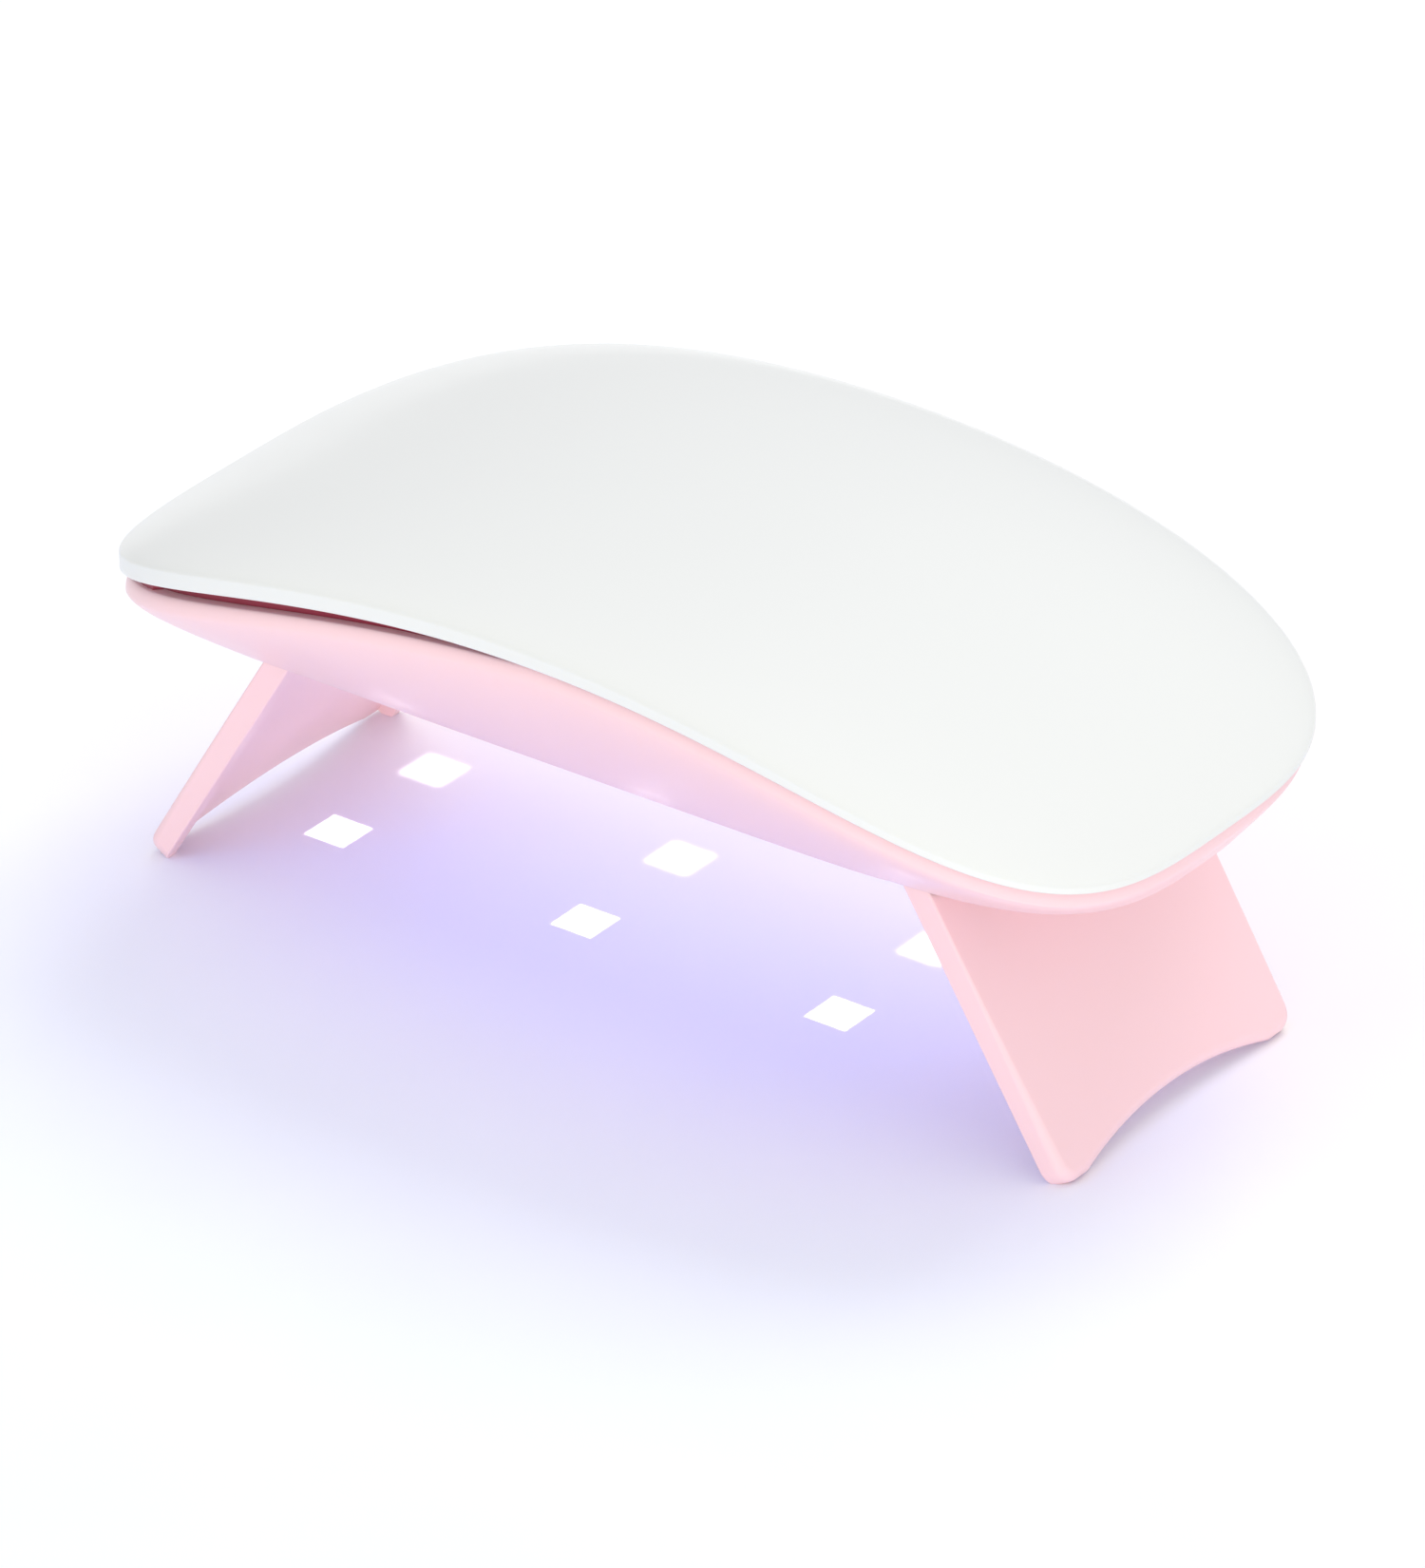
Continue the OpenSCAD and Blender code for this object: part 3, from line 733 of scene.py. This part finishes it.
def build_pin(side, name):
    low, high = node_box(f"hinge_pin_{name}")
    radius = (high[0] - low[0]) / 2
    profile = [(radius - 0.2, low[1]), (radius, low[1] + 0.25), (radius, high[1] - 0.25),
               (radius - 0.2, high[1])]
    return finish_normals(lathe(f"hinge_rod_{name}", profile,
                                lambda u, v, w: (u + side * PIVOT[0], w, v + PIVOT[2]), 36))


def build_board(name, node, outline, holes, radius):
    low, high = node_box(node)
    obj = prism(name, outline, low[2], high[2], upright)
    cuts = [prism("hole", shifted(circle(radius, 32), x, y), low[2] - 1, high[2] + 1, upright)
            for x, y in holes]
    return finish_normals(boolean(obj, join(cuts)))


def build_pads(name, spots, size, z, thick=0.05):
    """Tinned pads on a board, as thin rounded plates."""
    half = [c / 2 for c in size]
    pads = [prism("pad", shifted(rounded_rect(*half, min(half) * 0.4, 3), x, y), z, z + thick, upright)
            for x, y in spots]
    return finish_normals(named(join(pads), name))


def build_package(name, node, inset, notch=True):
    """The moulded body of a chip, set in from its leads, with a pin mark."""
    low, high = node_box(node)
    obj = soft_box(name, low + np.array(inset + (0.12,)), high - np.array(inset + (0,)), 0.12, 2)
    if notch:
        spot = (low[0] + inset[0] + 0.6, high[1] - inset[1] - 0.6)
        mark = prism("mark", shifted(circle(0.25, 20), *spot), high[2] - 0.08, high[2] + 1, upright)
        obj = boolean(obj, mark)
    return finish_normals(obj)


def build_leads(name, node, count, along, reach):
    """Bent leads on two sides of a chip."""
    low, high = node_box(node)
    other = 1 - along
    span = high[along] - low[along]
    z_low, z_mid = low[2], low[2] + 0.55 * (high[2] - low[2])
    parts = []
    for k in range(count):
        c = low[along] + span * (k + 0.5) / count
        for edge, inward in ((low[other], 1), (high[other], -1)):
            for a, b, z0, z1 in ((0, reach * 0.45, z_low, z_low + 0.16),
                                 (reach * 0.35, reach * 0.6, z_low, z_mid + 0.16),
                                 (reach * 0.35, reach * 1.2, z_mid, z_mid + 0.16)):
                p = [0, 0, z0]
                q = [0, 0, z1]
                p[along], q[along] = c - 0.17, c + 0.17
                p[other], q[other] = sorted((edge + inward * a, edge + inward * b))
                parts.append(soft_box("lead", p, q, 0.04, 1))
    return finish_normals(named(join(parts), name))


def build_end_caps(name, node, along, share):
    """Tinned ends of a chip resistor or capacitor."""
    caps = []
    for low, high in chips_of(node):
        reach = (high[along] - low[along]) * share
        for k in (0, 1):
            p, q = low.copy(), high.copy()
            if k:
                p[along] = high[along] - reach
            else:
                q[along] = low[along] + reach
            caps.append(soft_box("cap", p, q, 0.08, 2))
    return finish_normals(named(join(caps), name))


def build_chips(name, node, along, share):
    """The ceramic middles between those ends, a little lower than them."""
    parts = []
    for low, high in chips_of(node):
        p, q = low + 0.05, high - 0.05
        reach = (high[along] - low[along]) * share - 0.1
        p[along], q[along] = low[along] + reach, high[along] - reach
        parts.append(soft_box("chip", p, q, 0.06, 2))
    return finish_normals(named(join(parts), name))


def chips_of(node):
    """Boxes of a node's separate chips: three resistors in a row, or one capacitor."""
    low, high = node_box(node)
    count = 3 if node == "resistors" else 1
    width = 1.3 if count == 3 else high[0] - low[0]
    step = (high[0] - low[0] - width) / max(1, count - 1)
    out = []
    for k in range(count):
        p, q = low.copy(), high.copy()
        p[0] = low[0] + k * step
        q[0] = p[0] + width
        out.append((p, q))
    return out


# ---------------------------------------------------------------- materials

def linear(r, g, b):
    """Eight-bit screen colour to the renderer's linear colour."""
    def one(c):
        c /= 255
        return c / 12.92 if c <= 0.04045 else ((c + 0.055) / 1.055) ** 2.4
    return (one(r), one(g), one(b), 1.0)


class Shader:
    """A small helper that adds nodes to one material."""

    def __init__(self, name):
        self.material = bpy.data.materials.new(name)
        self.material.use_nodes = True
        self.tree = self.material.node_tree
        self.tree.nodes.clear()
        self.out = self.node("ShaderNodeOutputMaterial")
        self.bsdf = self.node("ShaderNodeBsdfPrincipled")
        self.link(self.bsdf, "BSDF", self.out, "Surface")
        self.coords = self.node("ShaderNodeTexCoord")

    def node(self, kind, **values):
        n = self.tree.nodes.new(kind)
        for key, value in values.items():
            if hasattr(n, key):
                setattr(n, key, value)
            else:
                n.inputs[key].default_value = value
        return n

    def link(self, a, out, b, into):
        self.tree.links.new(a.outputs[out], b.inputs[into])

    def set(self, **values):
        for key, value in values.items():
            self.bsdf.inputs[key.replace("_", " ")].default_value = value

    def noise(self, scale, detail=3.0):
        n = self.node("ShaderNodeTexNoise", Scale=scale, Detail=detail)
        self.link(self.coords, "Object", n, "Vector")
        return n

    def ramp(self, source, out, low, high, span=(0.35, 0.65)):
        n = self.node("ShaderNodeValToRGB")
        n.color_ramp.elements[0].position = span[0]
        n.color_ramp.elements[1].position = span[1]
        n.color_ramp.elements[0].color = low
        n.color_ramp.elements[1].color = high
        self.link(source, out, n, "Fac")
        return n

    def spread(self, source, out, low, high):
        n = self.node("ShaderNodeMapRange")
        n.inputs["From Min"].default_value = 0.1
        n.inputs["From Max"].default_value = 0.9
        n.inputs["To Min"].default_value = low
        n.inputs["To Max"].default_value = high
        self.link(source, out, n, "Value")
        return n


def shade(colour, factor):
    return tuple(c * factor for c in colour[:3]) + (1.0,)


def plastic(name, colour, rough, coat=0.0, grain=0.04, grain_scale=1800, tone=0.985):
    """Moulded plastic: faint tone drift, fine surface grain, slow roughness drift."""
    m = Shader(name)
    drift = m.noise(14, 0)
    tint = m.ramp(drift, "Fac", shade(colour, tone), colour, (0.1, 0.9))
    m.link(tint, "Color", m.bsdf, "Base Color")
    wear = m.noise(60, 1)
    gloss = m.spread(wear, "Fac", rough * 0.9, rough * 1.12)
    m.link(gloss, "Result", m.bsdf, "Roughness")
    fine = m.noise(grain_scale, 3)
    bump = m.node("ShaderNodeBump", Strength=grain, Distance=0.00002)
    m.link(fine, "Fac", bump, "Height")
    m.link(bump, "Normal", m.bsdf, "Normal")
    m.set(IOR=1.5, Coat_Weight=coat, Coat_Roughness=0.08)
    return m.material


def metal(name, colour, rough):
    """Plated metal with fine scratches in its colour and its gloss."""
    m = Shader(name)
    scratches = m.noise(900, 4)
    tint = m.ramp(scratches, "Fac", shade(colour, 0.88), colour)
    m.link(tint, "Color", m.bsdf, "Base Color")
    gloss = m.spread(scratches, "Fac", rough * 0.8, rough * 1.3)
    m.link(gloss, "Result", m.bsdf, "Roughness")
    m.set(Metallic=1.0)
    return m.material


def lens(name, colour, glow):
    """Lit clear plastic with a faint speckle in its tint."""
    m = Shader(name)
    speck = m.noise(700, 2)
    tint = m.ramp(speck, "Fac", shade(colour, 0.94), colour)
    m.link(tint, "Color", m.bsdf, "Base Color")
    m.link(tint, "Color", m.bsdf, "Emission Color")
    m.set(Roughness=0.2, Emission_Strength=glow)
    return m.material


WHITE = linear(243, 245, 245)
PINK = linear(252, 214, 221)

MATERIALS = {
    "white_gloss": plastic("white_gloss", shade(WHITE, 0.88), 0.3, coat=0.15, grain=0.004, tone=0.993),
    "pink_gloss": plastic("pink_gloss", shade(PINK, 0.95), 0.36, coat=0.12, grain=0.015),
    # rose_rubber is painted shade: a dark rose that stands in for the shadow inside the seam between
    # cover and base
    "rose_rubber": plastic("rose_rubber", linear(150, 48, 70), 0.55, grain=0.05, tone=0.9),
    "steel": metal("steel", (0.6, 0.61, 0.63, 1), 0.3),
    "board_white": plastic("board_white", linear(238, 238, 234), 0.4, tone=0.96),
    "board_green": plastic("board_green", linear(24, 92, 52), 0.35, tone=0.85),
    "led_package": plastic("led_package", linear(236, 226, 160), 0.4, tone=0.95),
    "clear_lens": lens("clear_lens", linear(206, 196, 255), 0.8),
    "black_plastic": plastic("black_plastic", linear(28, 28, 31), 0.45, tone=0.85),
    "ceramic_tan": plastic("ceramic_tan", linear(176, 140, 90), 0.5, tone=0.9),
    "white_plain": plastic("white_plain", linear(225, 225, 225), 0.45),
    "wire_red": plastic("wire_red", linear(190, 24, 24), 0.5, tone=0.9),
    "wire_black": plastic("wire_black", linear(22, 22, 22), 0.5, tone=0.85),
}
SLOT_OF = {s["node"]: s["material_slot"] for s in frame["record"]["subparts"]}


def dress(obj, slot):
    obj.data.materials.clear()
    obj.data.materials.append(MATERIALS[slot])


for node_name, cad_object in NODES.items():
    dress(cad_object, SLOT_OF[node_name])
    for poly in cad_object.data.polygons:
        poly.material_index = 0


def place(obj, body, slot, *replaced):
    dress(obj, slot)
    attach(obj, body)
    if replaced:
        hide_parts(*replaced)
    return obj


# ---------------------------------------------------------------- the visible pieces

place(build_cover(), "housing", "white_gloss", "top_cover")
place(build_base(), "housing", "pink_gloss", "base_tray")
# the seam ring's dark rose colour is painted shade in the seam below the cover
place(build_seam_ring(), "housing", "rose_rubber", "seam_ring")
place(build_leg("leg_plate_right", 1), "leg_right", "pink_gloss", "leg_right")
place(build_leg("leg_plate_left", -1), "leg_left", "pink_gloss", "leg_left")

for i in range(1, 7):
    place(build_window(i), "housing", "clear_lens", f"led_window_{i}")
    place(build_emitter(i), "housing", "led_package", f"uv_led_{i}")

place(build_button(), "button", "white_gloss", "power_button")
place(build_socket(), "housing", "steel", "usb_socket")
place(build_tongue(), "housing", "black_plastic", "usb_tongue")
place(build_contacts(), "housing", "steel")
place(build_pipe(), "housing", "clear_lens", "light_pipe")
for side, name in ((1, "right"), (-1, "left")):
    place(build_pin(side, name), "housing", "steel", f"hinge_pin_{name}")

place(screw_set("cover_screw_set", four(COVER_POST), UNDER_Z + 0.2, -1, 6), "housing", "steel",
      "cover_screws")
place(screw_set("board_screw_set", four(BOARD_POST), node_box("led_board_screws")[1][2], 1, 3.2),
      "housing", "steel", "led_board_screws")
place(screw_set("hinge_screw_set", four(HINGE_POST), node_box("hinge_screws")[1][2], 1, 2.4),
      "housing", "steel", "hinge_screws")
CONTROL_SCREWS = node_box("control_board_screws")
CONTROL_POST = (middle("control_board_screws")[0], CONTROL_SCREWS[1][1] - HEAD_R)
CONTROL_SPOTS = [(CONTROL_POST[0], s * CONTROL_POST[1]) for s in (-1, 1)]
place(screw_set("control_screw_set", CONTROL_SPOTS, CONTROL_SCREWS[1][2], 1, 1.4), "housing", "steel",
      "control_board_screws")

LED_BOARD = node_box("led_board")
place(build_board("lamp_board", "led_board",
                  rounded_rect(LED_BOARD[1][0], LED_BOARD[1][1], 2.0), four(BOARD_POST), BOARD_BORE_R),
      "housing", "board_white", "led_board")
LEAD_Y = (-1.2, 1.2)                 # the two leads, side by side
LEAD_END_X, LEAD_START_X = -36.6, -49.6
PAD_SINK = 0.02
LAMP_PADS = [(LEAD_END_X, y) for y in LEAD_Y] + [(x, y) for x in (-33, 33) for y in (-6, 6)]
place(build_pads("lamp_board_pads", LAMP_PADS, (1.6, 1.2), LED_BOARD[1][2] - PAD_SINK), "housing",
      "steel")


def control_outline():
    """The control board follows the round end of its compartment."""
    low, high = node_box("control_board")
    inset = 1.9
    flat = oval(UNDER_RIGHT - inset, UNDER_HALF_W - inset, UNDER_P, UNDER_Q)
    kept = [(-x, y) for x, y in np.roll(flat, SIDES // 4, 0)
            if low[0] <= -x < high[0] and x > 0 and abs(y) <= high[1]]
    return [(high[0], -high[1])] + kept + [(high[0], high[1])]


place(build_board("timer_board", "control_board", control_outline(), CONTROL_SPOTS, BOARD_BORE_R),
      "housing", "board_green", "control_board")
CONTROL_TOP = node_box("control_board")[1][2]
TIMER_PADS = [(LEAD_START_X, y) for y in LEAD_Y] + [(-49.4, y) for y in (4.5, 6.5)]
place(build_pads("timer_board_pads", TIMER_PADS, (1.5, 1.2), CONTROL_TOP - PAD_SINK), "housing",
      "steel")
place(build_package("timer_chip_body", "timer_chip", (0.1, 0.75)), "housing", "black_plastic",
      "timer_chip")
place(build_leads("timer_chip_leads", "timer_chip", 4, 0, 0.8), "housing", "steel", "timer_chip")
place(build_package("transistor_body", "power_transistor", (0.1, 0.55), False), "housing",
      "black_plastic", "power_transistor")
place(build_leads("transistor_leads", "power_transistor", 3, 0, 0.6), "housing", "steel",
      "power_transistor")
place(build_chips("resistor_bodies", "resistors", 1, 0.22), "housing", "black_plastic", "resistors")
place(build_end_caps("resistor_ends", "resistors", 1, 0.22), "housing", "steel", "resistors")
place(build_chips("capacitor_body", "capacitor", 1, 0.2), "housing", "ceramic_tan", "capacitor")
place(build_end_caps("capacitor_ends", "capacitor", 1, 0.2), "housing", "steel", "capacitor")


# ---------------------------------------------------------------- floor, light, camera

FLOOR_HALF = 6000
SKY = (0.6, 0.94)                    # strength at the horizon and overhead
MID_LAMP = (0, 0, 30)
KEY = {"spot": (-100, 900, 1300), "target": MID_LAMP, "size": (900, 900), "power": 8.0}
FILL = {"spot": (900, -1170, 190), "target": MID_LAMP, "size": (1500, 420), "power": 10.2,
        "colour": (1, 0.985, 0.86)}
TINT = {"spot": (-30, -330, 300), "target": (0, -45, 0), "size": (340, 120), "power": 0.06,
        "colour": (0.0, 0.3, 1.0), "spread": 60}
POOL = {"target": (0, 0, 0), "size": (118, 40), "power": 0.0095, "colour": (0.02, 0.16, 1.0)}
BEAM = {"size": (5.5, 5.5), "power": 0.00014, "spread": 80}
BEAM_SHIFT = (-13.8, 3.8)            # from a window to its square of light on the table
BEAM_LIFT = (0.35, 1.3)              # height of the near and far squares' lights: far ones are softer
CAMERA_SPOT = (670.641, -897.464, 638.770)
CAMERA_TURN = (36.763, 28.929, -0.406)   # azimuth, elevation and roll in degrees
LENS, SENSOR = 268.85, 36


def add_floor():
    corners = [(-1, -1), (1, -1), (1, 1), (-1, 1)]
    floor = make_object("floor", [(x * FLOOR_HALF, y * FLOOR_HALF, 0) for x, y in corners],
                        [(0, 1, 2, 3)])
    m = Shader("floor_white")
    grain = m.noise(40, 3)
    tint = m.ramp(grain, "Fac", (0.955, 0.955, 0.955, 1), (0.965, 0.965, 0.965, 1))
    m.link(tint, "Color", m.bsdf, "Base Color")
    m.set(Roughness=0.9, Specular_IOR_Level=0.0)
    floor.data.materials.append(m.material)


def add_world(horizon, zenith):
    """Soft white sky that is dimmer near the horizon, as under a large overhead diffuser."""
    world = bpy.data.worlds.new("studio")
    bpy.context.scene.world = world
    world.use_nodes = True
    nodes, links = world.node_tree.nodes, world.node_tree.links
    background = nodes["Background"]
    background.inputs["Color"].default_value = (1, 1, 1, 1)
    coords = nodes.new("ShaderNodeTexCoord")
    split = nodes.new("ShaderNodeSeparateXYZ")
    climb = nodes.new("ShaderNodeMapRange")
    climb.inputs["To Min"].default_value = horizon
    climb.inputs["To Max"].default_value = zenith
    links.new(coords.outputs["Generated"], split.inputs["Vector"])
    links.new(split.outputs["Z"], climb.inputs["Value"])
    links.new(climb.outputs["Result"], background.inputs["Strength"])


def add_area(name, spot, target, size, power, colour=(1, 1, 1), spread=180):
    """A soft rectangular light that is not itself seen; spread is in degrees."""
    data = bpy.data.lights.new(name, "AREA")
    data.shape = "RECTANGLE"
    data.size, data.size_y = (s * MM for s in size)
    data.energy = power
    data.color = colour
    data.spread = math.radians(spread)
    obj = bpy.data.objects.new(name, data)
    bpy.context.scene.collection.objects.link(obj)
    obj.location = Vector(spot) * MM
    obj.rotation_euler = (Vector(target) - Vector(spot)).to_track_quat("-Z", "Y").to_euler()
    obj.visible_camera = False
    obj.visible_glossy = False
    return obj


def add_camera():
    data = bpy.data.cameras.new("camera")
    data.sensor_width = SENSOR
    data.lens = LENS
    data.clip_start, data.clip_end = 0.01, 50
    obj = bpy.data.objects.new("camera", data)
    bpy.context.scene.collection.objects.link(obj)
    az, el, roll = (math.radians(a) for a in CAMERA_TURN)
    back = Vector((math.sin(az) * math.cos(el), -math.cos(az) * math.cos(el), math.sin(el)))
    right = Vector((math.cos(az), math.sin(az), 0))
    up = back.cross(right)
    right, up = (right * math.cos(roll) + up * math.sin(roll),
                 up * math.cos(roll) - right * math.sin(roll))
    turn = Matrix((right, up, back)).transposed().to_4x4()
    obj.matrix_world = Matrix.Translation(Vector(CAMERA_SPOT) * MM) @ turn
    bpy.context.scene.camera = obj


def add_glow():
    """Stage lights for the table alone: a violet pool, and six small lights just above the
    table that draw the bright squares. The squares are placed, not cast by the windows."""
    only_floor = bpy.data.collections.new("glow_receivers")
    only_floor.objects.link(bpy.data.objects["floor"])
    lights = [add_area("glow_pool", (0, 0, UNDER_Z - 0.3), **POOL)]
    for i in range(1, 7):
        x, y = middle(f"led_window_{i}")[:2] + np.array(BEAM_SHIFT)
        near = middle(f"led_window_{i}")[1] < 0
        lift = BEAM_LIFT[0] if near else BEAM_LIFT[1]
        lights.append(add_area(f"beam_{i}", (x, y, lift), (x, y, 0), **BEAM))
    lights.append(add_area("table_tint", **TINT))
    for light in lights:
        light.light_linking.receiver_collection = only_floor


def add_front_fill():
    """Low soft light from the front, on the lamp alone."""
    lamp_only = bpy.data.collections.new("fill_receivers")
    for obj in bpy.context.scene.objects:
        if obj.type == "MESH" and obj.name != "floor":
            lamp_only.objects.link(obj)
    add_area("front_fill", **FILL).light_linking.receiver_collection = lamp_only


add_floor()
add_world(*SKY)
add_glow()
add_area("key", **KEY)
add_front_fill()
add_camera()
bpy.context.scene.view_settings.view_transform = "Standard"
